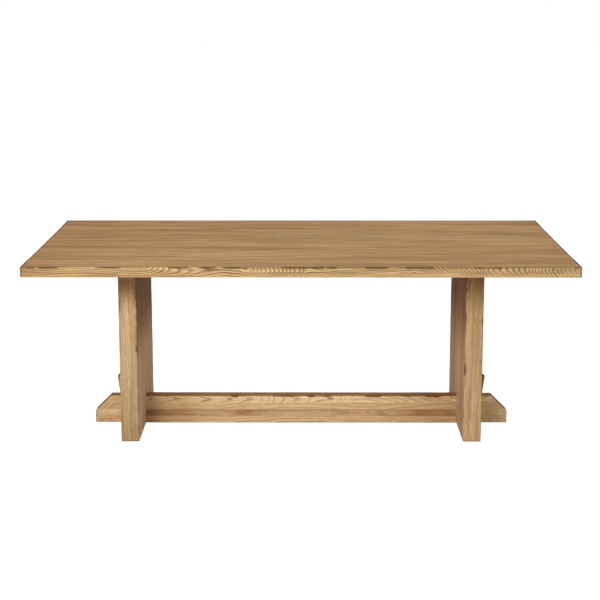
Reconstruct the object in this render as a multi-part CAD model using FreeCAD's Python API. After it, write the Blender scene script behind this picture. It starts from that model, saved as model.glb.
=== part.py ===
import FreeCAD, Part
import math
import os

# Trestle dining table: a plank top screwed to two slab legs, and a low stretcher whose tenons
# pass through the legs and are held by wedges. Millimetres, X along the table, front towards -Y,
# Z up, with the origin on the floor under the middle of the top.

# Whole table and its top
TABLE_H = 762.0
TOP_L = 2080.0
TOP_D = 1064.0
TOP_T = 39.0
TOP_BOARDS = 7
TOP_EASE = 2.5
END_OVERHANG = 326.0

# Slab legs
LEG_T = 71.0
LEG_D = 545.0
LEG_BOARDS = 5
LEG_EASE = 3.0

# Stretcher, laid up from flat layers, and its through tenons
LAYER_T = 29.0
LAYERS = 4
STRETCHER_T = 54.0
STRETCHER_EASE = 2.5
SHOULDER = 5.0
TENON_OUT = 138.0
TIP_FACE_H = 51.0
TIP_ANGLE = 45.0
TIP_ROUND = 12.0

# Wedges: WEDGE_SLOPE units of height for each unit across
WEDGE_T = 20.0
WEDGE_NECK = 35.0
WEDGE_RISE = 85.0
WEDGE_SLOPE = 7.5
WEDGE_TIP_LIFT = 14.0
WEDGE_CLIP = 6.0
WEDGE_EASE = 1.5
WEDGE_RELIEF = 6.0

# Loose splines in the glue joints
TOP_SPLINE_T = 6.0
TOP_SPLINE_W = 28.0
LEG_SPLINE_T = 10.0
LEG_SPLINE_W = 30.0
SPLINE_STOP = 90.0

# Plate on each leg's upper end, with an ear along both sides of the leg
PLATE_T = 5.0
PLATE_EAR = 34.0
PLATE_MARGIN = 42.0
PLATE_CORNER = 8.0
SLOT_PLAY = 7.0

# Countersunk screws from the plate down into the leg
SCREW_D = 7.0
SCREW_HEAD_D = 13.0
SCREW_L = 85.0
SCREW_TIP = 8.0

# Coach screws from below, through the plate's ears, up into the top
COACH_D = 8.0
COACH_L = 28.0
COACH_HEAD_AF = 13.0
COACH_HEAD_H = 5.3
COACH_HOLE_PLAY = 1.0

# Felt strips under the feet
GLIDE_L = 90.0
GLIDE_W = 46.0
GLIDE_T = 3.0
GLIDE_INSET = 14.0

# Clearances, and the difference below which two lengths count as equal
SLIDE_FIT = 0.3
JOINT_FIT = 0.2
PIN_FIT = 0.1
SAME = 0.01

V = FreeCAD.Vector
UP = V(0, 0, 1)
SIDES = (-1, 1)


def lines(count, pitch):
    """Positions of count lines, pitch apart and centred on zero."""
    return [(i - (count - 1) / 2) * pitch for i in range(count)]


# Heights and stations that several pieces share
TOP_UNDER = TABLE_H - TOP_T
PLATE_UPPER = TOP_UNDER + PLATE_T
LEG_FOOT = GLIDE_T
LEG_OUT = TOP_L / 2 - END_OVERHANG
LEG_IN = LEG_OUT - LEG_T
LEG_MID = (LEG_OUT + LEG_IN) / 2
STRETCHER_Z0 = LEG_FOOT
STRETCHER_Z1 = STRETCHER_Z0 + LAYERS * LAYER_T
TENON_T = STRETCHER_T - 2 * SHOULDER
TENON_TIP = LEG_OUT + TENON_OUT

# Middles of the boards, and the glue lines between them
TOP_BOARD_W = TOP_D / TOP_BOARDS
TOP_LINES = lines(TOP_BOARDS, TOP_BOARD_W)
TOP_JOINTS = lines(TOP_BOARDS - 1, TOP_BOARD_W)
LEG_BOARD_W = LEG_D / LEG_BOARDS
LEG_LINES = lines(LEG_BOARDS, LEG_BOARD_W)
LEG_JOINTS = lines(LEG_BOARDS - 1, LEG_BOARD_W)

# Coach screws stand on the boards beside the top's middle, and the plate's screws on every leg
# board but the outermost, all clear of the glue lines
BESIDE = TOP_BOARDS // 2
COACH_LINES = (TOP_LINES[BESIDE - 1], TOP_LINES[-BESIDE])
COACH_X = [LEG_MID + s * (LEG_T + PLATE_EAR) / 2 for s in SIDES]
COACH_PLACES = [(x, y) for x in COACH_X for y in COACH_LINES]
SCREW_PLACES = [(LEG_MID, y) for y in LEG_LINES[1:-1]]


def block(x0, x1, y0, y1, z0, z1):
    """A box given by its two limits on each axis."""
    return Part.makeBox(x1 - x0, y1 - y0, z1 - z0, V(x0, y0, z0))


def post(x, y, z0, z1, diameter):
    """An upright cylinder between two heights."""
    return Part.makeCylinder(diameter / 2, z1 - z0, V(x, y, z0))


def outline_face(points):
    """A flat face inside a closed outline."""
    return Part.Face(Part.makePolygon(points + points[:1]))


def prism(outline, depth):
    """An outline of X and Z points, drawn out along Y to half of depth on both sides."""
    face = outline_face([V(x, -depth / 2, z) for x, z in outline])
    return face.extrude(V(0, depth, 0))


def eased(shape, size, wanted):
    """The shape with the edges that wanted() accepts chamfered."""
    return shape.makeChamfer(size, [e for e in shape.Edges if wanted(e)])


def other_end(shape):
    """The same piece at the far end of the table, where X is negative."""
    return shape.mirror(V(0, 0, 0), V(1, 0, 0))


def both_ends(shapes):
    """The pieces at one end of the table, and the same pieces at the other."""
    return shapes + [other_end(s) for s in shapes]


def save(name, shape):
    """Write one node, with faces merged where cuts left them split."""
    shape.removeSplitter().exportStep("parts/" + name + ".step")


def save_group(name, shapes):
    """Write one node made of separate, alike solids."""
    save(name, Part.makeCompound(shapes))


def plate(play):
    """The plate's blank, larger by play all round, with its corners cut off."""
    half_x = LEG_T / 2 + PLATE_EAR + play
    y0 = COACH_LINES[0] - PLATE_MARGIN - play
    y1 = COACH_LINES[1] + PLATE_MARGIN + play
    blank = block(LEG_MID - half_x, LEG_MID + half_x, y0, y1, TOP_UNDER, PLATE_UPPER)
    return eased(blank, PLATE_CORNER, lambda e: e.BoundBox.ZLength > SAME)


def coach_slot(x, y):
    """A slot along Y, so that the top can shrink and swell on its screws."""
    width = COACH_D + COACH_HOLE_PLAY
    half = SLOT_PLAY / 2
    ends = [post(x, y + s * half, TOP_UNDER, PLATE_UPPER, width) for s in SIDES]
    web = block(x - width / 2, x + width / 2, y - half, y + half, TOP_UNDER, PLATE_UPPER)
    return web.fuse(ends)


def screw(x, y, play):
    """A countersunk screw, larger by play, with its head level with the plate's upper face."""
    shank = SCREW_D / 2 + play
    head = SCREW_HEAD_D / 2 + play
    profile = [
        V(0, 0, PLATE_UPPER),
        V(head, 0, PLATE_UPPER),
        V(shank, 0, PLATE_UPPER - head + shank),
        V(shank, 0, PLATE_UPPER - SCREW_L + SCREW_TIP),
        V(0, 0, PLATE_UPPER - SCREW_L - play),
    ]
    turned = outline_face(profile).revolve(V(0, 0, 0), UP, 360)
    return turned.translated(V(x, y, 0))


def hex_head(x, y):
    """A head under the plate, with its corners turned down at the lower end."""
    corner = COACH_HEAD_AF / math.sqrt(3)
    turns = [k * math.pi / 3 for k in range(6)]
    face = outline_face([V(corner * math.cos(a), corner * math.sin(a), 0) for a in turns])
    flat = COACH_HEAD_AF / 2
    turned = Part.makeCone(flat, flat + COACH_HEAD_H * math.sqrt(3), COACH_HEAD_H)
    head = face.extrude(V(0, 0, COACH_HEAD_H)).common(turned)
    return head.translated(V(x, y, TOP_UNDER - COACH_HEAD_H))


def coach_shank(x, y, play):
    """The part of a coach screw above its head, larger by play."""
    return post(x, y, TOP_UNDER, TOP_UNDER + COACH_L + play, COACH_D + 2 * play)


def top_spline(y, play):
    """A strip across a glue line of the top, larger by play."""
    half_x = TOP_L / 2 - SPLINE_STOP + play
    half_y = TOP_SPLINE_W / 2 + play
    half_z = TOP_SPLINE_T / 2 + play
    mid = TABLE_H - TOP_T / 2
    return block(-half_x, half_x, y - half_y, y + half_y, mid - half_z, mid + half_z)


def leg_spline(y, play):
    """A strip across a glue line of a leg, larger by play."""
    half_x = LEG_SPLINE_T / 2 + play
    half_y = LEG_SPLINE_W / 2 + play
    z0 = LEG_FOOT + SPLINE_STOP - play
    z1 = TOP_UNDER - SPLINE_STOP + play
    return block(LEG_MID - half_x, LEG_MID + half_x, y - half_y, y + half_y, z0, z1)


def wedge_outer(z):
    """How far out the wedge's sloping face stands at a height."""
    return LEG_OUT + SLIDE_FIT + WEDGE_NECK + (z - STRETCHER_Z1) / WEDGE_SLOPE


def wedge_blank():
    """A wedge with an upright face beside the leg and its upper outer corner clipped."""
    inner = LEG_OUT + SLIDE_FIT
    z0 = STRETCHER_Z0 + WEDGE_TIP_LIFT
    z1 = STRETCHER_Z1 + WEDGE_RISE
    clip = z1 - WEDGE_CLIP
    outline = [
        (inner, z0),
        (wedge_outer(z0), z0),
        (wedge_outer(clip), clip),
        (wedge_outer(z1) - WEDGE_CLIP, z1),
        (inner, z1),
    ]
    return eased(prism(outline, WEDGE_T), WEDGE_EASE, lambda e: True)


def wedge_mortise():
    """A hole with the wedge's own slope outside, and relief behind the leg's face inside."""
    inner = LEG_OUT - WEDGE_RELIEF
    outline = [
        (inner, STRETCHER_Z0),
        (wedge_outer(STRETCHER_Z0) + SLIDE_FIT, STRETCHER_Z0),
        (wedge_outer(STRETCHER_Z1) + SLIDE_FIT, STRETCHER_Z1),
        (inner, STRETCHER_Z1),
    ]
    return prism(outline, WEDGE_T + 2 * SLIDE_FIT)


def is_tip_corner(edge):
    """The blunt corner between a tip's upright face and its slope."""
    box = edge.BoundBox
    return box.ZLength < SAME and abs(box.ZMin - STRETCHER_Z0 - TIP_FACE_H) < SAME


def tenon_blank():
    """The stretcher's core from tip to tip, with both upper corners sloped off."""
    tip_z = STRETCHER_Z0 + TIP_FACE_H
    run = (STRETCHER_Z1 - tip_z) / math.tan(math.radians(TIP_ANGLE))
    right = [(TENON_TIP, STRETCHER_Z0), (TENON_TIP, tip_z), (TENON_TIP - run, STRETCHER_Z1)]
    left = [(-x, z) for x, z in reversed(right)]
    core = prism(right + left, TENON_T)
    core = core.makeFillet(TIP_ROUND, [e for e in core.Edges if is_tip_corner(e)])
    return eased(core, STRETCHER_EASE, lambda e: e.BoundBox.YLength < SAME)


def glides():
    """Felt strips near both ends of each half of a notched foot."""
    starts = (TENON_T / 2 + GLIDE_INSET, LEG_D / 2 - GLIDE_INSET - GLIDE_L)
    x0, x1 = LEG_MID - GLIDE_W / 2, LEG_MID + GLIDE_W / 2
    back = [block(x0, x1, y, y + GLIDE_L, 0, GLIDE_T) for y in starts]
    front = [block(x0, x1, -y - GLIDE_L, -y, 0, GLIDE_T) for y in starts]
    return back + front


os.makedirs("parts", exist_ok=True)

# Top: one slab eased all round, let in for the plates and screws, then parted into boards
top = block(-TOP_L / 2, TOP_L / 2, -TOP_D / 2, TOP_D / 2, TOP_UNDER, TABLE_H)
top = eased(top, TOP_EASE, lambda e: True)
top = top.cut([top_spline(y, JOINT_FIT) for y in TOP_JOINTS])
top = top.cut(both_ends([plate(JOINT_FIT)]))
top = top.cut(both_ends([coach_shank(x, y, PIN_FIT) for x, y in COACH_PLACES]))
for i, y in enumerate(TOP_LINES):
    y0, y1 = y - TOP_BOARD_W / 2, y + TOP_BOARD_W / 2
    save("top_board_%d" % (i + 1), top.common(block(-TOP_L, TOP_L, y0, y1, TOP_UNDER, TABLE_H)))
save_group("top_splines", [top_spline(y, 0) for y in TOP_JOINTS])

# Legs: one slab with eased arrises, notched from below over the tenon, then parted into boards
leg = block(LEG_IN, LEG_OUT, -LEG_D / 2, LEG_D / 2, LEG_FOOT, TOP_UNDER)
leg = eased(leg, LEG_EASE, lambda e: e.BoundBox.ZMin < TOP_UNDER - SAME)
notch = TENON_T / 2 + JOINT_FIT
leg = leg.cut(block(LEG_IN, LEG_OUT, -notch, notch, LEG_FOOT, STRETCHER_Z1 + JOINT_FIT))
leg = leg.cut([leg_spline(y, JOINT_FIT) for y in LEG_JOINTS])
leg = leg.cut([screw(x, y, PIN_FIT) for x, y in SCREW_PLACES])
for i, y in enumerate(LEG_LINES):
    y0, y1 = y - LEG_BOARD_W / 2, y + LEG_BOARD_W / 2
    board = leg.common(block(LEG_IN, LEG_OUT, y0, y1, LEG_FOOT, TOP_UNDER))
    save("right_leg_board_%d" % (i + 1), board)
    save("left_leg_board_%d" % (i + 1), other_end(board))
save_group("leg_splines", both_ends([leg_spline(y, 0) for y in LEG_JOINTS]))

# Stretcher: a bar with shoulders against the legs, and tenons through them, parted into layers
bar = block(-LEG_IN, LEG_IN, -STRETCHER_T / 2, STRETCHER_T / 2, STRETCHER_Z0, STRETCHER_Z1)
bar = eased(bar, STRETCHER_EASE, lambda e: e.BoundBox.XLength > SAME)
stretcher = bar.fuse(tenon_blank()).removeSplitter()
stretcher = stretcher.cut(both_ends([wedge_mortise()]))
for i in range(LAYERS):
    z0 = STRETCHER_Z0 + i * LAYER_T
    layer = block(-TENON_TIP, TENON_TIP, -STRETCHER_T, STRETCHER_T, z0, z0 + LAYER_T)
    save("stretcher_layer_%d" % (i + 1), stretcher.common(layer))

wedge = wedge_blank()
save("right_wedge", wedge)
save("left_wedge", other_end(wedge))

# Plates, with slots in the ears and countersunk holes over the leg
steel = plate(0)
steel = steel.cut([coach_slot(x, y) for x, y in COACH_PLACES])
steel = steel.cut([screw(x, y, PIN_FIT) for x, y in SCREW_PLACES])
save("right_plate", steel)
save("left_plate", other_end(steel))

# Screws and floor pads
save_group("plate_screws", both_ends([screw(x, y, 0) for x, y in SCREW_PLACES]))
coach = [hex_head(x, y).fuse(coach_shank(x, y, 0)) for x, y in COACH_PLACES]
save_group("coach_screws", both_ends(coach))
save_group("foot_glides", both_ends(glides()))
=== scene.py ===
import math
from typing import NamedTuple

import bmesh
import bpy
from bpy.props import FloatProperty, FloatVectorProperty, PointerProperty
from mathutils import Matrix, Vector, noise


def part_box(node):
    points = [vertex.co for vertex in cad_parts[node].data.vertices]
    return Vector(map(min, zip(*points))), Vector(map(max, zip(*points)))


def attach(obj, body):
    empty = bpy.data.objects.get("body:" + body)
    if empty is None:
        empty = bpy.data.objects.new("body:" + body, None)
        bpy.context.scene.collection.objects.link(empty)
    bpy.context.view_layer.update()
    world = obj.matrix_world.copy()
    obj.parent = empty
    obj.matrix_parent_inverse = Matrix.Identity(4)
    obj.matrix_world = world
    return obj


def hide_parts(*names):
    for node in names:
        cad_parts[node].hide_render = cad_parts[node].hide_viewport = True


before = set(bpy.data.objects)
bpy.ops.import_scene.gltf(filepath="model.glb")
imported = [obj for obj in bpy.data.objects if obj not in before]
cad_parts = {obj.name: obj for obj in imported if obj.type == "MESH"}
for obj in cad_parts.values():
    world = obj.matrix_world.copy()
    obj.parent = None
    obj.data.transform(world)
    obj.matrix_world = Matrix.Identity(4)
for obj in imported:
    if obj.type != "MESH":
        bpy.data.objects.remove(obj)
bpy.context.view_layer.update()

bl_info = {
    "name": "Trestle dining table",
    "version": (1, 0, 0),
    "blender": (4, 5, 0),
    "location": "3D View > Sidebar > Table",
    "description": "Dresses the packed trestle table in worn oak and sets its stage",
    "category": "Object",
}

# Units, axes, the two ends or sides of the table, and how near or square counts as exact
MM = 0.001
X, Y, Z = 0, 1, 2
ENDS = (-1, 1)
LEFT, RIGHT = ENDS
FRONT, BACK = ENDS
NEAR = 1e-5
SQUARE = 0.99
WHITE = (1.0, 1.0, 1.0)

# Directions that a flat face may look in: along the axes, and square to the 45 degree slopes
FLAT_WAYS = (
    Vector((1, 0, 0)), Vector((0, 1, 0)), Vector((0, 0, 1)),
    Vector((1, 0, 1)).normalized(), Vector((1, 0, -1)).normalized(),
)

# The packed boards in order, and sizes of the frame that several pieces are made to
TOP_NODES = sorted(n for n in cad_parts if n.startswith("top_board_"))
LAYER_NODES = sorted(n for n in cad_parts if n.startswith("stretcher_layer_"))
LEG_NODES = sorted(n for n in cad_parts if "_leg_board_" in n)
LEG_LOW, LEG_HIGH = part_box("right_leg_board_1")
FOOT_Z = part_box(LAYER_NODES[0])[0].z
TIP_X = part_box(LAYER_NODES[0])[1].x
BAR_LOW, BAR_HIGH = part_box(LAYER_NODES[-1])


class Mark(NamedTuple):
    """A noise drawn out along the grain: its length and width in millimetres, and how it is made."""
    long: float
    wide: float
    seed: float
    detail: float
    roughness: float = 0.5


class Figure(NamedTuple):
    """How growth rings run along a figured board, as points of place in millimetres and value.

    The rings drift across the board, lean by a share of the height, and bow with its square.
    """
    drift: tuple
    lean: tuple
    bow: tuple


class Grain(NamedTuple):
    """How growth rings lie in a board: its axes, and sizes in millimetres.

    The pith is given across the wide and the deep axis. Rings without a figure are circles round
    a pith that wanders. Fine is the dark part of each ring, as a share of the ring.
    """
    along: int
    wide: int
    deep: int
    pith: tuple
    ring: float
    figure: Figure = None
    wander: float = 40.0
    warp: float = 5.0
    fine: float = 0.36


class Row(NamedTuple):
    """Boards side by side in one material: where the first starts, their width, and a tint for each."""
    axis: int
    start: float
    width: float
    tints: tuple


class Fade(NamedTuple):
    """How far a tint takes over along a board, on the faces of its deep axis and on the others."""
    deep: tuple
    others: tuple
    tint: tuple


class Waves(NamedTuple):
    """A noise along an arris: its waves in each metre, the track that it is read on, and its weight."""
    per_metre: float
    track: float
    weight: float

    def at(self, place, seed):
        """The noise at a place, from -1 to 1."""
        return noise.noise(Vector((place * self.per_metre, seed, self.track)))


class Wear(NamedTuple):
    """How an arris is worn: a seed, how uneven and how stained it is, and its dents."""
    seed: float
    uneven: float
    stain: float
    dents: tuple = ()


class Leg(NamedTuple):
    """What sets one leg apart: its wood, the painted shade and painted light on it, and the dents in its two
    front arrises.
    """
    seed: float
    tints: tuple
    face_painted_shade: tuple
    edge_painted_shade: tuple
    face_painted_light: tuple
    inner_dents: tuple
    outer_dents: tuple


class Lamp(NamedTuple):
    """A soft square light: its place, the point it looks at, its size and its share of the key's power."""
    name: str
    place: tuple
    target: tuple
    size: float
    share: float


# Marks that every oak board has, and the bands and flecks that boards have in several sizes
SWAY = Mark(420.0, 900.0, 1.0, 1.0)
WARP = Mark(130.0, 45.0, 2.0, 2.0)
WIGGLE = Mark(24.0, 12.0, 2.5, 2.0)
BANDS = Mark(420.0, 15.0, 4.0, 3.0, 0.6)
BROAD_BANDS = Mark(900.0, 110.0, 5.0, 1.0)
FIBRES = Mark(55.0, 0.9, 6.0, 3.0, 0.6)
STREAKS = Mark(260.0, 6.0, 7.0, 2.0, 0.6)
FLECKS = Mark(22.0, 2.6, 7.5, 2.0, 0.7)
PORES = Mark(9.0, 0.45, 8.0, 0.0)
PATCHES = Mark(160.0, 60.0, 9.0, 1.0)
LONG_BANDS = BANDS._replace(long=560.0, wide=17.0)
LONG_FLECKS = FLECKS._replace(long=190.0, wide=7.0)
SHORT_FLECKS = FLECKS._replace(long=26.0, wide=2.2)
BAR_FLECKS = FLECKS._replace(long=34.0, wide=2.8)

# Dents in arrises: middle and half length in millimetres, along the table or by height on the legs,
# and depth as a share of the arris's own width
TOP_DENTS = (
    (-1003, 17, 0.8), (-938, 38, 1.1), (-716, 50, 1.0), (-457, 37, 1.2), (-345, 34, 1.2),
    (-258, 36, 1.1), (-20, 55, 0.9), (60, 26, 2.0), (112, 18, 1.3), (279, 42, 1.2), (438, 54, 1.2),
    (666, 22, 1.3), (722, 21, 1.4), (790, 250, 0.4), (1022, 10, 0.9),
)
STRETCHER_DENTS = (
    (-274, 18, 0.9), (-60, 60, 0.5), (41, 18, 0.6), (107, 20, 0.6), (297, 38, 0.8), (438, 30, 0.3),
    (545, 36, 0.7),
)

# The two legs: tints run from the front board to the back one. The fades go by height in millimetres.
# They are painted shade under the table top, on the faces that look along the table and on the front and
# back ones. On the left leg's front they also darken towards the floor. Both legs darken to the same colour.
# The face tints are painted light on the faces that look along the table, strongest on the left leg, whose
# inner face the key light doesn't reach.
LEGS = {
    "left": Leg(
        seed=3.0,
        tints=((0.98, 1.0, 1.01), (1.0, 0.96, 0.95), (1.05, 0.97, 0.95), (0.92, 0.86, 0.86),
               (0.94, 0.90, 0.88)),
        face_painted_shade=((3, 0.0), (310, 0.0), (430, 0.53), (490, 0.75), (723, 0.9)),
        edge_painted_shade=((3, 0.45), (180, 0.24), (440, 0.0), (560, 0.1), (632, 0.62), (663, 0.52), (723, 0.5)),
        face_painted_light=(1.07, 1.05, 1.16),
        inner_dents=((610, 34, 0.4), (505, 26, 0.4), (440, 40, 0.5), (388, 24, 0.6)),
        outer_dents=((560, 32, 0.5),),
    ),
    "right": Leg(
        seed=4.0,
        tints=((0.79, 0.74, 0.675), (0.95, 0.89, 0.88), (0.92, 0.86, 0.85), (0.84, 0.77, 0.77),
               (0.86, 0.80, 0.80)),
        face_painted_shade=((3, 0.0), (300, 0.0), (430, 0.4), (490, 0.65), (530, 0.74), (723, 0.8)),
        edge_painted_shade=((3, 0.0), (480, 0.0), (567, 0.25), (632, 0.45), (723, 0.35)),
        face_painted_light=(1.03, 1.0, 1.14),
        inner_dents=((620, 12, 0.5), (300, 28, 0.4)),
        outer_dents=((492, 18, 0.5), (330, 14, 0.3)),
    ),
}
# The colour that the painted shade on both legs darkens towards
LEG_PAINTED_SHADE = (0.27, 0.14, 0.03)

# The figure on the front edge of the top, the other boards' tints, and a blush at the ends of the top
FRONT_EDGE = Figure(
    drift=((-1040, 0), (-800, 6), (-615, -1), (-540, 5), (-496, 14), (-440, 20), (-377, 27), (-330, 30),
           (-284, 33), (-235, 30), (-178, 34), (-5, 88), (88, 98), (233, 104), (393, 97), (446, 87),
           (671, 18), (844, -27), (1016, -87), (1040, -95)),
    lean=((-1040, -0.65), (-600, -0.65), (-480, -0.30), (-360, -0.30), (-284, -0.5), (-200, -0.38),
          (-150, -0.27), (-10, -0.27), (50, -0.44), (120, -0.62), (350, -0.62), (440, -0.52),
          (620, -0.45), (700, -0.28), (760, -0.32), (880, -0.18), (1040, -0.25)),
    bow=((-1040, 0), (-600, 0), (-480, 0.014), (-360, 0.014), (-284, 0), (-200, 0.008), (-150, 0.017),
         (-20, 0.017), (88, 0), (350, 0), (460, 0.001), (620, 0.003), (700, 0.011), (850, 0.012),
         (1040, 0.009)),
)
TOP_TINTS = (
    (1.0, 1.0, 1.0), (1.03, 1.03, 1.03), (0.97, 0.96, 0.95), (1.04, 1.03, 1.02), (0.98, 0.98, 0.98),
    (1.0, 0.98, 0.97), (0.96, 0.95, 0.94),
)
TOP_BLUSH = Fade(
    deep=((-1040, 0.75), (-900, 0.45), (-650, 0.0), (900, 0.0), (1040, 0.3)),
    others=((-1040, 0.5), (-900, 0.2), (-650, 0.0), (900, 0.0), (1040, 0.1)),
    tint=(0.88, 0.78, 0.80),
)

# The figure on the stretcher's face: arches in its upper layer, and chevrons on the tenons below it
ARCHES = Figure(
    drift=((-860, -12), (-720, -5), (-640, -3), (-581, 0), (-449, 4.6), (-341, 9.2), (-260, 13.8),
           (-178, 18.4), (-122, 27.6), (-56, 36.8), (27, 41.4), (50, 46.5), (150, 50), (190, 60),
           (250, 66), (330, 62), (450, 54), (640, 40), (720, 38), (860, 48)),
    lean=((-860, -0.3), (-700, -0.2), (-600, -0.03), (60, 0.0), (140, -0.12), (200, -0.22), (300, -0.26),
          (450, -0.22), (700, -0.2), (860, -0.3)),
    bow=((-860, 0.004), (-600, 0.010), (-300, 0.008), (60, 0.010), (200, 0.004), (300, 0.0),
         (860, 0.004)),
)
TAILS = ((-860, -30), (-790, -20), (-720, -14), (-640, -8), (-300, -6), (0, 0), (300, -4), (640, 8),
         (720, 14), (790, 20), (860, 32))
STEADY = ((-860, -0.20), (-700, -0.30), (-640, -0.36), (640, -0.36), (700, -0.62), (860, -0.50))
CHEVRON = ((-860, -0.034), (-700, -0.026), (-600, -0.006), (600, -0.006), (700, -0.022), (860, -0.030))
STRAIGHT = ((-860, 0.0), (860, 0.0))

# How light the stretcher's wood is along it: mottled in the brown layer. In the others it is fairly even in
# the middle, with painted shade where the bar nears the legs. The tenon ends outside the legs are darker on
# the left, which the lamp lights, and lighter on the right, which the right leg shades, as painted light and
# shade.
MOTTLED = ((-860, 0.85), (-700, 0.8), (-630, 0.1), (-480, 0.2), (-380, 0.45), (-290, 0.42), (-240, 0.15),
           (-190, 0.42), (150, 0.5), (380, 0.45), (480, 0.12), (620, 0.2), (700, 1.0), (860, 1.0))
# A plain tone in the middle, with painted shade by the legs and painted light on the shaded right tenon
TONE_AND_PAINTED_LIGHT = ((-860, 0.15), (-640, 0.35), (-400, 0.5), (0, 0.6), (400, 0.42), (640, 0.05), (700, 0.8), (860, 0.9))
# Painted shade on the bar's left part beside the left leg, where the leg's soft shadow falls
LEFT_LEG_PAINTED_SHADE = ((-860, 0.0), (-640, 0.0), (-590, 0.0), (-540, 0.3), (-500, 0.5), (-450, 0.3), (-390, 0.0),
           (860, 0.0))
BAR_SHADE = Fade(LEFT_LEG_PAINTED_SHADE, LEFT_LEG_PAINTED_SHADE, (0.66, 0.55, 0.45))

# Noises that make a worn arris wider and narrower, and the one that stains it in patches
FINE_WAVES = Waves(38.0, 0.5, 0.45)
SLOW_WAVES = Waves(13.0, 7.5, 0.55)
STAIN_WAVES = Waves(21.0, 3.5, 0.5)

# A worn arris in shares of its usual width: the least that is left, what a dent of depth 1 adds and how
# ragged that is, the stretch that stays as it is at each end, the run to full wear, and room for rounding
NARROWEST = 0.3
DENT_WIDTH, DENT_RAGGED = 1.6, 0.35
UNWORN_END, WEAR_RUN = 2.4, 4.0
ARRIS_SLACK = 0.02

# Stain in a dent: the most there is, how soon it is reached, and the share of it at the dent's rims
DENT_STAIN, DENT_STAIN_GAIN, DENT_RIM = 0.95, 1.5, 0.75

# Room round a spline in its groove, and how ragged the felt is: waves in each metre, and share cut back
GROOVE_PLAY = 0.2 * MM
FELT_WAVES, FELT_RAG = 160.0, 0.008

# Ranges in which most values of a noise lie, for taking them to other values
MIDDLE = (0.3, 0.7)
WIDE_MIDDLE = (0.2, 0.8)

LAMPS = (
    Lamp("key_light", (-2.3, -5.6, 3.1), (0.0, 0.0, 0.4), 2.0, 1.0),
    Lamp("fill_light", (4.5, -4.5, 2.6), (0.0, 0.0, 0.4), 3.0, 0.2),
    Lamp("back_light", (1.0, 5.0, 4.4), (0.0, 0.0, 0.5), 3.4, 0.25),
)


def colour(name, default, text):
    """A colour that a user may change."""
    return FloatVectorProperty(name=name, description=text, default=default, subtype="COLOR", size=3,
                               min=0.0, max=1.0)


def length(name, default, text):
    """A size in metres that a user may change."""
    return FloatProperty(name=name, description=text, default=default, min=0.0, unit="LENGTH")


def angle(name, degrees, text):
    """An angle that a user may change."""
    return FloatProperty(name=name, description=text, default=math.radians(degrees), subtype="ANGLE")


def share(name, default, text):
    """A share from nothing to all that a user may change."""
    return FloatProperty(name=name, description=text, default=default, min=0.0, max=1.0, subtype="FACTOR")


def number(name, default, text, **limits):
    """A plain number that a user may change."""
    return FloatProperty(name=name, description=text, default=default, **limits)


def tint(name, default, text):
    """Factors for a colour's three parts that a user may change."""
    return FloatVectorProperty(name=name, description=text, default=default, size=3, min=0.0)


class TopLook(bpy.types.PropertyGroup):
    """Sizes and colours of the top"""
    arris: length("Arris", 1.2 * MM, "Width of the worn arris before it is dented")
    pitch: length("Pitch", 8 * MM, "Distance between cuts along a worn arris")
    margin: length("Margin", 10 * MM, "How far the stain of a worn arris can reach")
    tip: length("Tip", 6.5 * MM, "Width of the dark strip at each end")
    light: colour("Light wood", (0.592, 0.366, 0.163), "Light bands of the grain")
    dark: colour("Dark wood", (0.40, 0.231, 0.095), "Dark bands of the grain")
    ring: colour("Ring lines", (0.16, 0.080, 0.035), "Lines between the growth rings")
    front_edge: tint("Front edge", (1.07, 1.23, 1.38), "Tint of the front board's edge")
    back_edge: tint("Back edge", (1.03, 1.13, 1.22), "Tint of the back board's edge")


class LegLook(bpy.types.PropertyGroup):
    """Sizes and colours of the legs"""
    arris: length("Arris", 3.0 * MM, "Width of the worn arris before it is dented")
    pitch: length("Pitch", 6 * MM, "Distance between cuts along a worn arris")
    margin: length("Margin", 12 * MM, "How far the stain of a worn arris can reach")
    tip: length("Tip", 3.5 * MM, "Height of the dark strip at the foot")
    light: colour("Light wood", (0.625, 0.455, 0.250), "Light bands of the grain")
    dark: colour("Dark wood", (0.445, 0.295, 0.153), "Dark bands of the grain")
    ring: colour("Ring lines", (0.23, 0.125, 0.060), "Lines between the growth rings")


class StretcherLook(bpy.types.PropertyGroup):
    """Sizes and colours of the stretcher"""
    arris: length("Arris", 2.5 * MM, "Width of the worn arris before it is dented")
    pitch: length("Pitch", 8 * MM, "Distance between cuts along a worn arris")
    shoulder: length("Shoulder", 5 * MM, "Step from the bar to its thinner tenons")
    tip_face: length("Tip face", 51 * MM, "Height of a tenon's upright end face")
    tip_round: length("Tip round", 5 * MM, "Rounding between the end face and its slope")
    margin: length("Margin", 9 * MM, "How far the stain of a worn arris can reach down the sides")
    reach: length("Reach", 20 * MM, "How far the stain of a worn arris can reach over the upper face")
    pale: colour("Pale layer", (0.80, 0.61, 0.37), "Light bands of the upper layer")
    light: colour("Light wood", (0.65, 0.47, 0.26), "Light bands of the grain")
    dark: colour("Dark wood", (0.50, 0.33, 0.16), "Dark bands of the grain")
    brown: colour("Brown layer", (0.33, 0.18, 0.085), "Dark bands of the second layer")
    ring: colour("Ring lines", (0.22, 0.115, 0.05), "Lines between the growth rings")
    upper: colour("Upper face", (0.54, 0.38, 0.275), "Tint of the upper and lower faces")
    ends: colour("Tips", (0.36, 0.25, 0.20), "Tint of the end grain")


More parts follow.
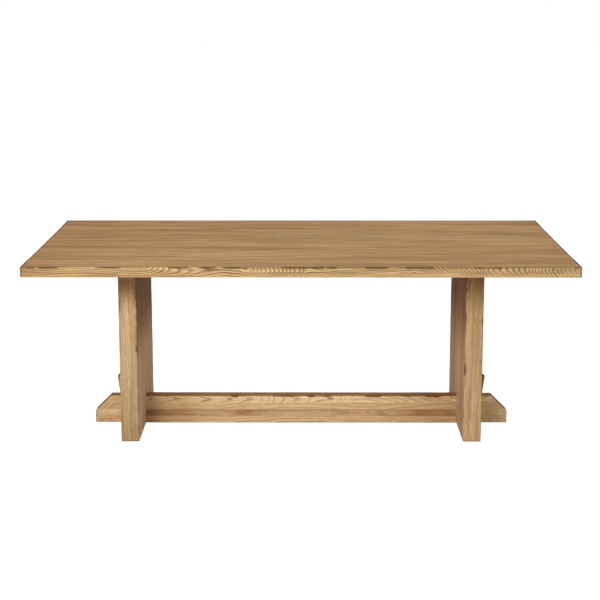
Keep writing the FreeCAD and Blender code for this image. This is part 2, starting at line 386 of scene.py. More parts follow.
class WedgeLook(bpy.types.PropertyGroup):
    """Sizes and colours of the wedges"""
    arris: length("Arris", 1.5 * MM, "Width of the rounded arrises")
    pitch: length("Pitch", 9 * MM, "Distance between cuts along a wedge")
    thick: length("Thickness", 20 * MM, "Thickness across the stretcher")
    clip: length("Clip", 6 * MM, "Size of the clipped upper corner, and height of the dark strip there")
    neck: length("Neck", 35 * MM, "Width where the wedge enters the stretcher")
    slope: number("Slope", 7.5, "Height for each unit across", min=1.0)
    play: length("Play", 0.3 * MM, "Room round the wedge in its mortise")
    relief: length("Relief", 6 * MM, "Depth of the mortise behind the leg's face")
    light: colour("Light wood", (0.52, 0.36, 0.205), "Light bands of the left wedge")
    dark: colour("Dark wood", (0.37, 0.235, 0.125), "Dark bands of the left wedge")
    # The right wedge's colours are a darker copy of the wedge wood, as painted shade where the right leg
    # shades it
    right_shaded_light: colour("Light brown", (0.36, 0.21, 0.095), "Light bands of the right wedge")
    right_shaded_dark: colour("Dark brown", (0.25, 0.135, 0.06), "Dark bands of the right wedge")
    ring: colour("Ring lines", (0.14, 0.075, 0.035), "Lines between the growth rings")
    ends: colour("Ends", (0.10, 0.09, 0.09), "Tint of the end grain")


class HardwareLook(bpy.types.PropertyGroup):
    """Sizes and colours of the plates, screws, splines and felt strips"""
    plate: colour("Plate", (0.022, 0.022, 0.024), "Matt paint on the plates")
    zinc: colour("Zinc", (0.55, 0.55, 0.56), "Plating on the screws")
    felt: colour("Felt", (0.10, 0.07, 0.05), "Felt strips under the feet")
    spline: colour("Splines", (0.60, 0.45, 0.28), "Bare wood of the loose splines")
    felt_length: length("Felt length", 90 * MM, "Length of a felt strip")
    felt_width: length("Felt width", 46 * MM, "Width of a felt strip")
    felt_inset: length("Felt inset", 14 * MM, "Distance from a felt strip to the end of a foot")
    felt_round: length("Felt rounding", 0.7 * MM, "Rounding of a felt strip's edges")
    felt_pitch: length("Felt pitch", 6 * MM, "Distance between cuts across a felt strip")


class StageLook(bpy.types.PropertyGroup):
    """Camera, light and floor"""
    eye: FloatVectorProperty(name="Eye", description="Where the camera stands", size=3,
                             default=(0.009, -5.5825, 1.7722), subtype="TRANSLATION", unit="LENGTH")
    pitch: angle("Pitch", 10.427, "How far the camera looks down")
    yaw: angle("Yaw", 0.142, "How far the camera turns left")
    lens: number("Lens", 83.61, "Focal length in millimetres", min=1.0, unit="CAMERA")
    sensor: number("Sensor", 36.0, "Sensor width in millimetres", min=1.0, unit="CAMERA")
    rise: number("Rise", -0.0904, "Camera shift upwards, in frame widths")
    key: number("Key light", 280.0, "Power of the soft light at the front left", min=0.0, unit="POWER")
    sky: number("Sky", 0.48, "Strength of the even light from all round", min=0.0)
    floor: colour("Floor", (0.88, 0.83, 0.76), "Colour of the floor")
    floor_half: length("Floor size", 40.0, "Half the width of the floor")
    glow: number("Glow", 1.25, "Strength of the white that the floor shows", min=0.0)
    shadow: share("Shadow", 0.25, "How much of the floor's own shading the camera sees")


class Field:
    """A value in a shader; arithmetic on it adds Math nodes."""

    def __init__(self, finish, socket):
        self.finish = finish
        self.socket = socket

    def __add__(self, other):
        return self.finish.math("ADD", self, other)

    __radd__ = __add__

    def __sub__(self, other):
        return self.finish.math("SUBTRACT", self, other)

    def __rsub__(self, other):
        return self.finish.math("SUBTRACT", other, self)

    def __mul__(self, other):
        return self.finish.math("MULTIPLY", self, other)

    __rmul__ = __mul__

    def __truediv__(self, other):
        return self.finish.math("DIVIDE", self, other)

    def __rtruediv__(self, other):
        return self.finish.math("DIVIDE", other, self)


class Finish:
    """A node tree under construction, of a material or of the world."""

    # How far apart the patterns of two seeds lie on each axis
    SEED_STEP = (7.31, 3.77, 5.13)

    def __init__(self, owner):
        owner.use_nodes = True
        self.owner = owner
        self.tree = owner.node_tree

    def node(self, kind, settings, sockets, output=0):
        """Add a node, set it up, fill or link its sockets, and give its output if it has one."""
        made = self.tree.nodes.new(kind)
        for key, value in settings.items():
            if key == "stops":
                self.set_stops(made.color_ramp, *value)
            else:
                setattr(made, key, value)
        self.feed(made, sockets)
        return Field(self, made.outputs[output]) if made.outputs else None

    def feed(self, made, sockets):
        """Give a node's sockets values or links."""
        for key, value in sockets.items():
            if isinstance(value, Field):
                self.tree.links.new(value.socket, made.inputs[key])
            else:
                made.inputs[key].default_value = value

    def surface(self, sockets):
        """Give the material's own shader its values or links."""
        self.feed(self.tree.nodes["Principled BSDF"], sockets)
        return self.owner

    @staticmethod
    def set_stops(ramp, interpolation, stops):
        """Put a ramp's stops at their places, each with a grey value or a colour."""
        ramp.interpolation = interpolation
        while len(ramp.elements) < len(stops):
            ramp.elements.new(1.0)
        for element, (place, value) in zip(ramp.elements, stops):
            element.position = place
            element.color = (*value, 1.0) if isinstance(value, tuple) else (value, value, value, 1.0)

    def math(self, operation, *values):
        """A Math node on one, two or three values."""
        return self.node("ShaderNodeMath", {"operation": operation}, dict(enumerate(values)))

    def most(self, first, *others):
        """The largest of several values."""
        for other in others:
            first = self.math("MAXIMUM", first, other)
        return first

    def ramp(self, value, stops, interpolation="LINEAR"):
        """A value or colour looked up along a ramp."""
        return self.node("ShaderNodeValToRGB", {"stops": (interpolation, stops)}, {"Fac": value})

    def profile(self, value, points):
        """A value looked up on a smooth curve through points, or one number where the curve is level."""
        places, heights = zip(*points)
        start, run = places[0], places[-1] - places[0]
        base, span = min(heights), max(heights) - min(heights)
        if not span:
            return base
        stops = [((p - start) / run, (h - base) / span) for p, h in points]
        return self.ramp((value - start) / run, stops, "CARDINAL") * span + base

    def mix(self, factor, first, second, blend="MIX"):
        """Two colours mixed."""
        settings = {"data_type": "RGBA", "blend_type": blend}
        first, second = (c if isinstance(c, Field) else (*c, 1.0) for c in (first, second))
        return self.node("ShaderNodeMix", settings, {0: factor, 6: first, 7: second}, 2)

    def tinted(self, body, tint, amount=1.0):
        """A colour multiplied by a tint, as far as an amount says."""
        return self.mix(amount, body, tint, "MULTIPLY")

    def shaded(self, body, value):
        """A colour made lighter or darker by a value."""
        grey = self.node("ShaderNodeCombineColor", {}, {0: value, 1: value, 2: value})
        return self.tinted(body, grey)

    def spread(self, value, source, target=(0.0, 1.0)):
        """A value taken smoothly from one range to another, and held at its ends."""
        sockets = dict(enumerate((value, *source, *target)))
        return self.node("ShaderNodeMapRange", {"interpolation_type": "SMOOTHSTEP"}, sockets)

    def noise(self, vector, scale, seed, detail=2.0, roughness=0.5):
        """Smooth noise from 0 to 1, with one scale or its own scale on each axis."""
        if isinstance(scale, (int, float)):
            scale = (scale, scale, scale)
        shift = tuple(seed * step for step in self.SEED_STEP)
        sockets = {"Vector": vector, "Scale": scale, "Location": shift}
        placed = self.node("ShaderNodeMapping", {"vector_type": "POINT"}, sockets)
        sockets = {"Vector": placed, "Scale": 1.0, "Detail": detail, "Roughness": roughness}
        return self.node("ShaderNodeTexNoise", {"noise_dimensions": "3D"}, sockets)

    def bump(self, height, strength, distance):
        """A surface normal from heights."""
        return self.node("ShaderNodeBump", {}, {"Strength": strength, "Distance": distance, "Height": height})

    def place(self):
        """A point's place on the object, in metres."""
        return self.node("ShaderNodeTexCoord", {}, {}, "Object")

    def axes(self, vector):
        """A vector's three parts."""
        parts = self.node("ShaderNodeSeparateXYZ", {}, {0: vector})
        return [Field(self, s) for s in parts.socket.node.outputs]


def new_finish(name):
    """A new material's tree."""
    return Finish(bpy.data.materials.new(name))


class Wood(NamedTuple):
    """A recipe for oak: colours, grain, how strong its marks are, and what is special to a board.

    Lines and bands are strengths. Lightness is the share of light wood along the board, as points.
    Tips are the places along it, or None, outside which it is stained dark. Side and face tint the
    faces that look along the wide and the deep axis, and ends the end grain.
    """
    seed: float
    grain: Grain
    light: tuple
    dark: tuple
    ring: tuple
    lines: float = 0.6
    bands: float = 1.0
    band: Mark = BANDS
    fleck: Mark = FLECKS
    row: Row = None
    lightness: tuple = ()
    fade: Fade = None
    tips: tuple = ()
    side: tuple = WHITE
    face: tuple = WHITE
    ends: tuple = (0.34, 0.25, 0.20)


class Oak(Finish):
    """Oiled oak made after a recipe, in millimetres from the table's origin."""

    # Shift of the pattern from one board of a row to the next, along and across the grain
    BOARD_SHIFT = (613.0, 31.0)
    # How square a face looks along an axis when it starts to count and when it counts in full
    FACING, END_FACING, SLANTING = (0.5, 0.9), (0.25, 0.6), (0.08, 0.2)
    # Rings: share of a ring that they wiggle, width of a group of wider rings, and how far it shifts them
    WIGGLE_SHARE, SWELL_WIDTH, SWELL_SEED, SWELL_SHIFT = 0.5, 17.0, 3.0, 1.2
    # Darkness through a ring, at shares of its dark part, and the share in which the next ring sets in
    RING_FALL, RING_RISE = ((0.5, 0.9), (1.2, 0.35), (1.9, 0.06)), 0.2
    # Light and dark wood: weights of three noises, half the range between dark and light, the share
    # left to the noises beside a lightness profile, and how far broad bands shift that profile
    BAND_WEIGHT, BROAD_WEIGHT, STREAK_WEIGHT, BAND_OFFSET = 0.55, 0.25, 0.30, -0.05
    BAND_HALF, BAND_SHARE, PROFILE_SHIFT = 0.12, 0.6, 90.0
    # Ring lines: faint in patches, and fainter on the faces of the deep axis
    PATCH_RANGE, PATCH_LINES, FACE_LOSS = (0.25, 0.6), (0.55, 1.0), 0.6
    # Fibres, flecks and pores
    FIBRE_SHADE, FLECK_RANGE, FLECK_DARK, FLECK_LIGHT = (0.84, 1.12), (0.28, 0.72), 0.16, 0.14
    PORE_RANGE, PORE_EARLY, PORE_COUNT, PORE_SHADE = (0.60, 0.72), (0.1, 0.7), (0.15, 1.0), 0.45
    # Dark strips at the tips: where each starts and is full, its strength by face, and its colour
    TIP_START, TIP_FULL, TIP_STRENGTH, TIP_COLOUR = 1.5, 0.5, (0.5, 0.92), 0.16
    # Stains: waves in each metre and strength of the blotches, and the stain's colour beside a ring line's
    BLOTCH_WAVES, BLOTCH_SEED, BLOTCH_RANGE, BLOTCH_STAIN = 14.0, 10.0, (0.35, 0.65), (0.15, 0.6)
    FIBRE_STAIN_RANGE, FIBRE_STAIN, STAIN_COLOUR = (0.1, 0.7), (1.0, 0.8), (0.4, 0.28, 0.24)
    # Oiled surface: roughness, and the relief of fibres, rings and pores
    ROUGH_RANGE, ROUGH, SPECULAR = (0.1, 0.9), (0.58, 0.74), 0.015
    FIBRE_RELIEF, PORE_RELIEF, RELIEF_STRENGTH, RELIEF = 0.35, 0.6, 0.35, 0.25 * MM

    def __init__(self, name, wood):
        super().__init__(bpy.data.materials.new(name))
        self.wood = wood
        grain = wood.grain
        self.spot = self.place()
        spots = [part * (1 / MM) for part in self.axes(self.spot)]
        along, wide, deep = spots[grain.along], spots[grain.wide], spots[grain.deep]
        self.station = along
        if wood.row:
            self.board = self.math("FLOOR", (spots[wood.row.axis] - wood.row.start) / wood.row.width)
            along = along + self.board * self.BOARD_SHIFT[0]
            wide = wide + self.board * self.BOARD_SHIFT[1]
        self.wide, self.deep = wide, deep
        self.drawn = self.node("ShaderNodeCombineXYZ", {}, {0: along, 1: wide, 2: deep})
        normal = self.node("ShaderNodeNewGeometry", {}, {}, "Normal")
        self.flat = [self.math("ABSOLUTE", part) for part in self.axes(normal)]

    def make(self):
        """Build the whole material."""
        early = self.early_wood()
        fibre = self.mark(FIBRES)
        pores = self.pores(early)
        body = self.banded()
        body = self.board_tints(body)
        body = self.ring_lines(body, early)
        body = self.fibres(body, fibre, pores)
        body = self.face_tones(body)
        body = self.dark_ends(body)
        body = self.stained(body, fibre)
        rough = self.spread(early * 0.5 + fibre * 0.5, self.ROUGH_RANGE, self.ROUGH)
        height = fibre * self.FIBRE_RELIEF - early * self.FIBRE_RELIEF - pores * self.PORE_RELIEF
        bump = self.bump(height, self.RELIEF_STRENGTH, self.RELIEF)
        return self.surface({"Base Color": body, "Roughness": rough, "Normal": bump,
                             "Specular IOR Level": self.SPECULAR})

    def mark(self, mark):
        """A noise drawn out along the grain."""
        scale = (1 / mark.long, 1 / mark.wide, 1 / mark.wide)
        return self.noise(self.drawn, scale, self.wood.seed + mark.seed, mark.detail, mark.roughness)

    def looks_along(self, axis):
        """From 0 to 1, how squarely a face looks along an axis."""
        return self.spread(self.flat[axis], self.FACING)

    def early_wood(self):
        """Growth rings: one in the dark start of each ring, falling to nothing in its late wood."""
        grain = self.wood.grain
        out = self.wide - grain.pith[0]
        rise = self.deep - grain.pith[1]
        if grain.figure:
            drift, lean, bow = (self.profile(self.station, points) for points in grain.figure)
            radius = out + drift + rise * (lean + bow * rise)
        else:
            out = out + (self.mark(SWAY) - 0.5) * (2.0 * grain.wander)
            radius = self.math("SQRT", out * out + rise * rise)
        warp = (self.mark(WARP) - 0.5) * (2.0 * grain.warp)
        wiggle = (self.mark(WIGGLE) - 0.5) * (self.WIGGLE_SHARE * grain.ring)
        radius = radius + warp + wiggle
        outwards = self.node("ShaderNodeCombineXYZ", {}, {0: radius})
        scale = (1 / self.SWELL_WIDTH, 1.0, 1.0)
        swell = self.noise(outwards, scale, self.wood.seed + self.SWELL_SEED, detail=1.0)
        turn = self.math("FRACT", radius / grain.ring + swell * self.SWELL_SHIFT)
        fall = [(part * grain.fine, dark) for part, dark in self.RING_FALL]
        late = 1.0 - self.RING_RISE * grain.fine
        return self.ramp(turn, [(0.0, 1.0), *fall, (late, 0.0), (1.0, 1.0)])

    def pores(self, early):
        """Open pores, most of them in the early wood."""
        pore = self.spread(self.mark(PORES), self.PORE_RANGE)
        return pore * self.spread(early, self.PORE_EARLY, self.PORE_COUNT)

    def banded(self):
        """Light and dark wood in bands along the grain."""
        wood = self.wood
        broad = self.mark(BROAD_BANDS)
        mixed = self.mark(wood.band) * self.BAND_WEIGHT + broad * self.BROAD_WEIGHT
        mixed = mixed + self.mark(STREAKS) * self.STREAK_WEIGHT + self.BAND_OFFSET
        half = self.BAND_HALF / wood.bands
        weight = self.spread(mixed, (0.5 - half, 0.5 + half))
        if wood.lightness:
            shifted = self.station + (broad - 0.5) * self.PROFILE_SHIFT
            noises = (weight - 0.5) * self.BAND_SHARE
            weight = noises + self.profile(shifted, wood.lightness)
        return self.mix(weight, wood.dark, wood.light)

    def board_tints(self, body):
        """A tint of its own for each board of a row."""
        if not self.wood.row:
            return body
        tints = self.wood.row.tints
        stops = [(i / len(tints), tint) for i, tint in enumerate(tints)]
        return self.tinted(body, self.ramp((self.board + 0.5) / len(tints), stops, "CONSTANT"))

    def ring_lines(self, body, early):
        """Lines between the growth rings, faint in patches."""
        patch = self.spread(self.mark(PATCHES), self.PATCH_RANGE, self.PATCH_LINES)
        kept = 1.0 - self.FACE_LOSS * self.flat[self.wood.grain.deep]
        return self.mix(early * patch * kept * self.wood.lines, body, self.wood.ring)

    def fibres(self, body, fibre, pores):
        """Light and dark fibres and flecks, and dark pores."""
        bands = self.wood.bands
        fleck_shade = (1.0 - self.FLECK_DARK * bands, 1.0 + self.FLECK_LIGHT * bands)
        flecks = self.spread(self.mark(self.wood.fleck), self.FLECK_RANGE, fleck_shade)
        body = self.shaded(body, self.spread(fibre, WIDE_MIDDLE, self.FIBRE_SHADE) * flecks)
        return self.mix(pores * self.PORE_SHADE, body, self.wood.ring)

    def face_tones(self, body):
        """Tints of the faces along the wide and the deep axis, and a tint that changes along the board. On
        the legs the face tint is painted light, and the tint along the board is painted shade on the legs and
        the stretcher.
        """
        wood, grain = self.wood, self.wood.grain
        body = self.tinted(body, wood.side, self.looks_along(grain.wide))
        body = self.tinted(body, wood.face, self.looks_along(grain.deep))
        if not wood.fade:
            return body
        others, deep = (self.profile(self.station, points) for points in (wood.fade.others, wood.fade.deep))
        amount = self.spread(self.flat[grain.deep], self.FACING, (others, deep))
        return self.tinted(body, wood.fade.tint, amount)

    def dark_ends(self, body):
        """Dark end grain, and a dark strip beside it."""
        wood, grain = self.wood, self.wood.grain
        end = self.spread(self.flat[grain.along], self.END_FACING)
        body = self.tinted(body, wood.ends, end)
        for place, way in zip(wood.tips, ENDS):
            if place is None:
                continue
            strip = self.spread(self.station, (place - way * self.TIP_START, place + way * self.TIP_FULL))
            strip = strip * (1.0 - end) * self.spread(self.flat[grain.deep], self.FACING, self.TIP_STRENGTH)
            body = self.mix(strip, body, tuple(c * self.TIP_COLOUR for c in wood.dark))
        return body

    def stained(self, body, fibre):
        """Stains on worn arrises and, in blotches, on every slanting face."""
        slant = 1.0 - self.most(*self.flat)
        blotch = self.noise(self.spot, self.BLOTCH_WAVES, self.wood.seed + self.BLOTCH_SEED)
        rubbed = self.spread(slant, self.SLANTING) * self.spread(blotch, self.BLOTCH_RANGE, self.BLOTCH_STAIN)
        worn = self.node("ShaderNodeAttribute", {"attribute_name": "arris"}, {}, "Fac")
        worn = worn * self.spread(fibre, self.FIBRE_STAIN_RANGE, self.FIBRE_STAIN)
        dark = tuple(line * stain for line, stain in zip(self.wood.ring, self.STAIN_COLOUR))
        return self.mix(self.most(worn, rubbed), body, dark)


def oak(name, wood):
    """A material of oiled oak."""
    return Oak(name, wood).make()


def painted(name, paint_colour):
    """Matt paint with a slight orange-peel skin."""
    paint = new_finish(name)
    place = paint.place()
    peel = paint.noise(place, scale=900.0, seed=1.0)
    cloud = paint.noise(place, scale=25.0, seed=2.0)
    body = paint.shaded(paint_colour, paint.spread(cloud, MIDDLE, (0.8, 1.25)))
    rough = paint.spread(cloud, WIDE_MIDDLE, (0.50, 0.62))
    bump = paint.bump(peel, strength=0.2, distance=0.1 * MM)
    return paint.surface({"Base Color": body, "Roughness": rough, "Normal": bump})


def plated(name, zinc_colour):
    """Zinc plating, with fine turning marks round upright screws and duller patches."""
    zinc = new_finish(name)
    place = zinc.place()
    turned = zinc.noise(place, scale=(120.0, 120.0, 4000.0), seed=3.0)
    dull = zinc.noise(place, scale=160.0, seed=4.0)
    body = zinc.shaded(zinc_colour, zinc.spread(dull, MIDDLE, (0.78, 1.1)))
    rough = zinc.spread(turned * 0.5 + dull * 0.5, MIDDLE, (0.26, 0.46))
    return zinc.surface({"Base Color": body, "Roughness": rough, "Metallic": 1.0})


def felted(name, felt_colour):
    """Pressed felt: tangled fibres, matt all over."""
    felt = new_finish(name)
    place = felt.place()
    tangle = felt.noise(place, scale=1500.0, seed=5.0, detail=4.0, roughness=0.7)
    cloud = felt.noise(place, scale=90.0, seed=6.0)
    body = felt.shaded(felt_colour, felt.spread(tangle * 0.6 + cloud * 0.4, MIDDLE, (0.6, 1.5)))
    bump = felt.bump(tangle, strength=0.8, distance=0.4 * MM)
    return felt.surface({"Base Color": body, "Roughness": 0.95, "Normal": bump})


def bare_wood(name, wood_colour):
    """Plain planed wood with fibres along the table."""
    wood = new_finish(name)
    fibre = wood.noise(wood.place(), scale=(30.0, 900.0, 900.0), seed=7.0, detail=3.0)
    body = wood.shaded(wood_colour, wood.spread(fibre, (0.25, 0.75), (0.8, 1.1)))
    return wood.surface({"Base Color": body, "Roughness": 0.7})


def block(low, high):
    """A mesh that holds a plain block between two corners."""
    bm = bmesh.new()
    bmesh.ops.create_cube(bm, size=1.0)
    bmesh.ops.scale(bm, vec=high - low, verts=bm.verts)
    bmesh.ops.translate(bm, vec=(low + high) / 2, verts=bm.verts)
    return bm


def pull(bm, faces, step):
    """Extrude faces by a step, and leave the faces that they came from."""
    grown = bmesh.ops.extrude_face_region(bm, geom=faces)["geom"]
    bmesh.ops.translate(bm, vec=step, verts=[g for g in grown if isinstance(g, bmesh.types.BMVert)])


def drawn_out(points, step):
    """A mesh made from a flat outline, drawn out along a step."""
    bm = bmesh.new()
    face = bm.faces.new([bm.verts.new(p) for p in points])
    pull(bm, [face], step)
    bmesh.ops.recalc_face_normals(bm, faces=bm.faces)
    return bm


def unit(axis):
    """A vector of length one along an axis."""
    return Vector([float(a == axis) for a in (X, Y, Z)])


def geometry(faces):
    """Faces with their edges and vertices, as the cutting operator takes them."""
    edges = {e for f in faces for e in f.edges}
    verts = {v for f in faces for v in f.verts}
    return [*verts, *edges, *faces]


def cut_at(bm, axis, place, faces=None):
    """Cut the given faces, or the whole mesh, where they cross a plane square to an axis."""
    normal = unit(axis)
    parts = geometry(bm.faces[:] if faces is None else faces)
    bmesh.ops.bisect_plane(bm, geom=parts, dist=NEAR, plane_co=normal * place, plane_no=normal)


def cut_along(bm, axis, pitch):
    """Cut a whole mesh across an axis at even steps."""
    places = [v.co[axis] for v in bm.verts]
    low, high = min(places), max(places)
    count = max(1, round((high - low) / pitch))
    for i in range(1, count):
        cut_at(bm, axis, low + (high - low) * i / count)


def ease(bm, edges, width, segments=3):
    """Round edges over."""
    bmesh.ops.bevel(bm, geom=edges, offset=width, offset_type="OFFSET", segments=segments, profile=0.5,
                    affect="EDGES", material=-1, clamp_overlap=True)


def on_side(bm, axis, side):
    """The faces that look square along an axis."""
    return [f for f in bm.faces if f.normal[axis] * side > SQUARE]


def lies_at(edge, place):
    """Whether both ends of an edge lie at a place, given by one or two of its coordinates."""
    return all(abs(v.co[a] - c) < NEAR for v in edge.verts for a, c in place.items())


def inside(face, low, high, skip):
    """Whether a face's middle lies between two corners, leaving one axis out."""
    middle = face.calc_center_median()
    return all(low[a] < middle[a] < high[a] for a in (X, Y, Z) if a != skip)


def sink(bm, axis, side, low, high, depth):
    """Sink a rectangle of a flat side by a depth."""
    bm.normal_update()
    for a in (X, Y, Z):
        if a != axis:
            cut_at(bm, a, low[a], on_side(bm, axis, side))
            cut_at(bm, a, high[a], on_side(bm, axis, side))
    floor = [f for f in on_side(bm, axis, side) if inside(f, low, high, axis)]
    pull(bm, floor, unit(axis) * (-side * depth))
    bmesh.ops.delete(bm, geom=floor, context="FACES")


def groove(bm, low, high, side, joint_y):
    """Sink the groove for a spline into the glued side of an outer board, with play round the spline."""
    play = Vector((GROOVE_PLAY, GROOVE_PLAY, GROOVE_PLAY))
    low, high = low - play, high + play
    depth = abs((low.y if side == FRONT else high.y) - joint_y)
    sink(bm, Y, -side, low, high, depth)


def edge_and_joint(low, high, side):
    """Where an outer board's free edge and its glued side lie across the table."""
    return (low.y, high.y) if side == FRONT else (high.y, low.y)


def arris_layer(bm):
    """The layer of a mesh that says how stained each vertex is."""
    return bm.verts.layers.float.get("arris") or bm.verts.layers.float.new("arris")


def dent_depth(place, dents):
    """How deep the arris is dented at a place."""
    deep = 0.0
    for middle, half, depth in dents:
        offset = abs(place - middle * MM) / (half * MM)
        if offset < 1.0:
            deep = max(deep, depth * math.sqrt(1.0 - offset * offset))
    return deep


def widening(place, deep, worn):
    """How many times wider than usual an arris is at a place along it."""
    fine = FINE_WAVES.at(place, worn.seed)
    slow = SLOW_WAVES.at(place, worn.seed)
    usual = 1.0 + worn.uneven * (FINE_WAVES.weight * fine + SLOW_WAVES.weight * slow)
    return max(NARROWEST, usual) + DENT_WIDTH * deep * (1.0 + DENT_RAGGED * fine)


def wear(bm, along, corner, width, worn):
    """Widen a rounded arris unevenly about the sharp corner it came from, and mark it for staining."""
    mark = arris_layer(bm)
    a, b = (axis for axis in (X, Y, Z) if axis != along)
    places = [v.co[along] for v in bm.verts]
    low, high = min(places), max(places)
    limit = width * (1.0 + ARRIS_SLACK)
    for v in bm.verts:
        off_a, off_b = v.co[a] - corner[a], v.co[b] - corner[b]
        if max(abs(off_a), abs(off_b)) > limit:
            continue
        place = v.co[along]
        deep = dent_depth(place, worn.dents)
        from_end = min(place - low, high - place) / width
        amount = min(1.0, max(0.0, (from_end - UNWORN_END) / WEAR_RUN))
        grow = 1.0 + (widening(place, deep, worn) - 1.0) * amount
        v.co[a] = corner[a] + off_a * grow
        v.co[b] = corner[b] + off_b * grow
        dark = DENT_STAIN * min(1.0, DENT_STAIN_GAIN * deep)
        if min(abs(off_a), abs(off_b)) > ARRIS_SLACK * width:
            patch = STAIN_WAVES.weight * STAIN_WAVES.at(place, worn.seed)
            v[mark] = min(1.0, max(0.0, worn.stain + patch) + dark)
        else:
            v[mark] = DENT_RIM * dark


def mesh_from(bm, name):
    """A mesh made from a finished bmesh, which is freed."""
    mesh = bpy.data.meshes.new(name)
    bm.to_mesh(mesh)
    bm.free()
    return mesh


def piece_from(bm, name, material, body, nodes):
    """Make a finished mesh a piece that stands for its CAD nodes."""
    arris_layer(bm)
    for face in bm.faces:
        face.smooth = max(abs(face.normal.dot(way)) for way in FLAT_WAYS) < SQUARE
    mesh = mesh_from(bm, name)
    mesh.materials.append(material)
    piece = bpy.data.objects.new(name, mesh)
    bpy.context.scene.collection.objects.link(piece)
    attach(piece, body)
    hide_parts(*nodes)


def dress(node, material):
    """Give a CAD node that stays in view its finish."""
    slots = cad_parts[node].data.materials
    slots.clear()
    slots.append(material)


class TABLE_OT_top_boards(bpy.types.Operator):
    """Plank top: worn front and back boards, and the boards between them"""
    bl_idname = "table.top_boards"
    bl_label = "Top boards"

    def execute(self, context):
        look = context.scene.table_top
        low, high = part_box(TOP_NODES[0])
        tips = (low.x + look.tip) / MM, (high.x - look.tip) / MM
        common = dict(light=look.light, dark=look.dark, ring=look.ring, band=LONG_BANDS, fleck=LONG_FLECKS,
                      fade=TOP_BLUSH, tips=tips)
        pith = (low.y / MM, (low.z + high.z) / (2 * MM))
        figured = Grain(X, Y, Z, pith, ring=5.0, figure=FRONT_EDGE, warp=1.6, fine=0.3)
        front = oak("front_board_oak", Wood(seed=1.0, grain=figured, lines=1.0, bands=1.3,
                                            side=look.front_edge, **common))
        plain = Grain(X, Y, Z, pith=(-900.0, 560.0), ring=3.4, wander=30.0, warp=4.0)
        row = Row(Y, low.y / MM, (high.y - low.y) / MM, TOP_TINTS)
        rest = oak("top_board_oak", Wood(seed=2.0, grain=plain, lines=0.7, bands=1.35, row=row,
                                         side=look.back_edge, **common))
        for node in TOP_NODES[1:-1]:
            dress(node, rest)
        self.worn_board(look, TOP_NODES[0], FRONT, front, TOP_DENTS)
        self.worn_board(look, TOP_NODES[-1], BACK, rest)
        return {"FINISHED"}

    @staticmethod
    def worn_board(look, node, side, material, dents=()):
        """An outer board, rounded and worn but for its glued side, which has a spline's groove."""
        low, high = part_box(node)
        edge_y, joint_y = edge_and_joint(low, high, side)
        bm = block(low, high)
        ease(bm, [e for e in bm.edges if not lies_at(e, {Y: joint_y})], look.arris)
        cut_along(bm, X, look.pitch)
        cut_at(bm, Y, edge_y - side * look.margin)
        cut_at(bm, Z, high.z - look.margin)
        upper = Wear(seed=11.0 + side, uneven=0.5, stain=0.8, dents=dents)
        lower = Wear(seed=15.0 + side, uneven=0.6, stain=0.15)
        wear(bm, X, {Y: edge_y, Z: high.z}, look.arris, upper)
        wear(bm, X, {Y: edge_y, Z: low.z}, look.arris, lower)
        groove(bm, *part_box("top_splines"), side, joint_y)
        piece_from(bm, "oak_" + node, material, "table", [node])


class TABLE_OT_leg_boards(bpy.types.Operator):
    """Slab legs: worn front and back boards, and the boards between them"""
    bl_idname = "table.leg_boards"
    bl_label = "Leg boards"

    def execute(self, context):
        look = context.scene.table_leg
        for name, leg in LEGS.items():
            nodes = [n for n in LEG_NODES if n.startswith(name)]
            material = self.leg_oak(look, name, leg)
            for node in nodes[1:-1]:
                dress(node, material)
            self.worn_board(look, nodes[0], FRONT, material, leg.inner_dents, leg.outer_dents)
            self.worn_board(look, nodes[-1], BACK, material)
        return {"FINISHED"}

    @staticmethod
    def leg_oak(look, name, leg):
        """Upright oak with painted shade towards the top, under the table top, and painted light on the faces
        that look along the table.
        """
        grain = Grain(Z, Y, X, pith=(-900.0, -260.0), ring=5.5, wander=20.0, warp=2.5)
        row = Row(Y, LEG_LOW.y / MM, (LEG_HIGH.y - LEG_LOW.y) / MM, leg.tints)
        tips = (LEG_LOW.z + look.tip) / MM, None
        # The face tint is painted light, and the fade is painted shade under the table top
        return oak(name + "_leg_oak", Wood(
            seed=leg.seed, grain=grain, light=look.light, dark=look.dark, ring=look.ring, lines=0.2,
            bands=1.1, fleck=SHORT_FLECKS, row=row, tips=tips, face=leg.face_painted_light,
            fade=Fade(leg.face_painted_shade, leg.edge_painted_shade, LEG_PAINTED_SHADE)))

    @staticmethod
    def worn_board(look, node, side, material, inner_dents=(), outer_dents=()):
        """An outer board, rounded and worn but for its glued side and its upper end."""
        low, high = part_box(node)
        edge_y, joint_y = edge_and_joint(low, high, side)
        inner_x, outer_x = (low.x, high.x) if low.x > 0 else (high.x, low.x)
        bm = block(low, high)
        square = ({Y: joint_y}, {Z: high.z})
        ease(bm, [e for e in bm.edges if not any(lies_at(e, place) for place in square)], look.arris)
        cut_along(bm, Z, look.pitch)
        cut_at(bm, Y, edge_y - side * look.margin)
        cut_at(bm, X, low.x + look.margin)
        cut_at(bm, X, high.x - look.margin)
        inner = Wear(seed=21.0 + side + inner_x, uneven=3.8, stain=0.35, dents=inner_dents)
        outer = Wear(seed=25.0 + side + inner_x, uneven=1.0, stain=0.4, dents=outer_dents)
        wear(bm, Z, {X: inner_x, Y: edge_y}, look.arris, inner)
        wear(bm, Z, {X: outer_x, Y: edge_y}, look.arris, outer)
        # The box of all the splines reaches from leg to leg, and this leg's lie about its middle
        spline_low, spline_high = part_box("leg_splines")
        middle = (low.x + high.x) / 2
        half = spline_high.x - abs(middle)
        spline_low = Vector((middle - half, spline_low.y, spline_low.z))
        spline_high = Vector((middle + half, spline_high.y, spline_high.z))
        groove(bm, spline_low, spline_high, side, joint_y)
        piece_from(bm, "oak_" + node, material, "table", [node])


